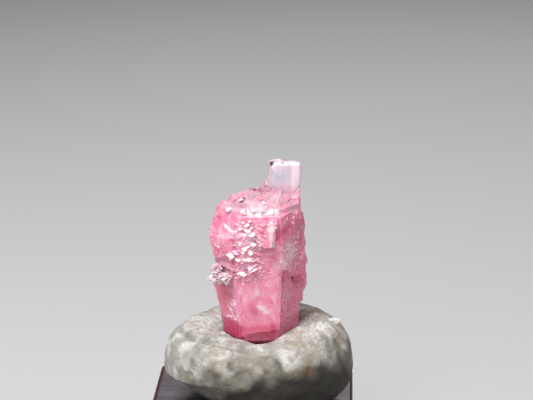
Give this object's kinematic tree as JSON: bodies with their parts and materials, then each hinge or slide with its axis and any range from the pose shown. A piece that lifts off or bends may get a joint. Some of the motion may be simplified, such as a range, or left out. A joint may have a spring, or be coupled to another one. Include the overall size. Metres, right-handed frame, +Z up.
{
  "type": "rhodochrosite crystal",
  "caption": "Upright pink rhodochrosite crystal with a broken, stepped head and a thin prong, set in a ring of pale putty on a small dark sawn block.",
  "frame": {"origin": "middle of the block's underside", "axes": "+Z up along the crystal, -Y towards the side that the picture shows, +X to the right of it"},
  "size_m": [0.0126, 0.0126, 0.0222],
  "materials": {
    "rhodochrosite": "translucent pink carbonate, glassy on its faces and sugary where broken",
    "putty": "used off-white mounting putty, dimpled, with beige and grey streaks",
    "block": "dark smoky plastic with fine saw lines across its top"
  },
  "bodies": {
    "root": {"rhodochrosite_crystal": "rhodochrosite", "putty_mount": "putty", "sawn_block": "block"}
  },
  "joints": []
}
